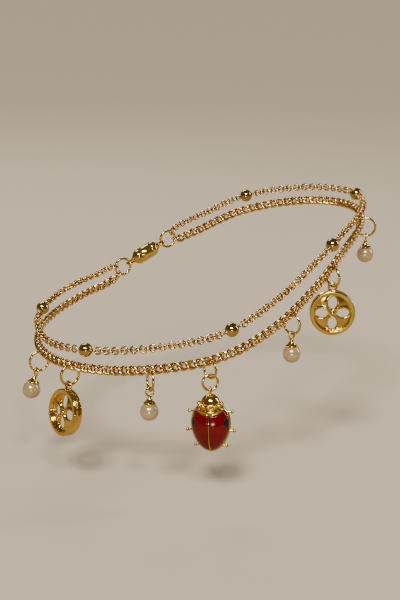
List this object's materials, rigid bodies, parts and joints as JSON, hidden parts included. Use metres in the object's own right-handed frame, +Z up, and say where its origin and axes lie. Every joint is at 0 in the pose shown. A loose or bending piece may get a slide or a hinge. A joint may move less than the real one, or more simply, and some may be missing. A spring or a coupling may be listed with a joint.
{
  "type": "charm anklet",
  "caption": "Double-strand gold chain anklet worn round an ankle, with pearl drops, pierced round discs and an enamel ladybug hanging from the lower strand.",
  "frame": {"origin": "middle of the loop, where the ankle passes through", "axes": "+Z up along the ankle, -X towards the toes, +X towards the heel, -Y the side that carries the charms"},
  "size_m": [0.0937, 0.0702, 0.052],
  "materials": {
    "gold": "polished warm yellow gold plating",
    "pearl": "cream pearl lustre",
    "red_enamel": "glossy deep crimson enamel",
    "black_enamel": "glossy black enamel"
  },
  "bodies": {
    "root": {"upper_chain": "gold", "lower_chain": "gold", "station_ball_1": "gold", "station_ball_2": "gold", "station_ball_3": "gold", "station_ball_4": "gold", "station_ball_5": "gold", "station_ball_6": "gold", "end_ring_front": "gold", "end_ring_back": "gold", "clasp": "gold", "drop_ring_1": "gold", "drop_cap_1": "gold", "pearl_1": "pearl", "drop_ring_2": "gold", "drop_cap_2": "gold", "pearl_2": "pearl", "drop_ring_3": "gold", "drop_cap_3": "gold", "pearl_3": "pearl", "drop_ring_4": "gold", "drop_cap_4": "gold", "pearl_4": "pearl", "disc_ring_1": "gold", "disc_charm_1": "gold", "disc_ring_2": "gold", "disc_charm_2": "gold", "bug_upper_ring": "gold", "bug_lower_ring": "gold", "bug_body": "gold", "bug_wing_left": "red_enamel", "bug_wing_right": "red_enamel", "bug_spot_left": "black_enamel", "bug_spot_right": "black_enamel"}
  },
  "joints": []
}
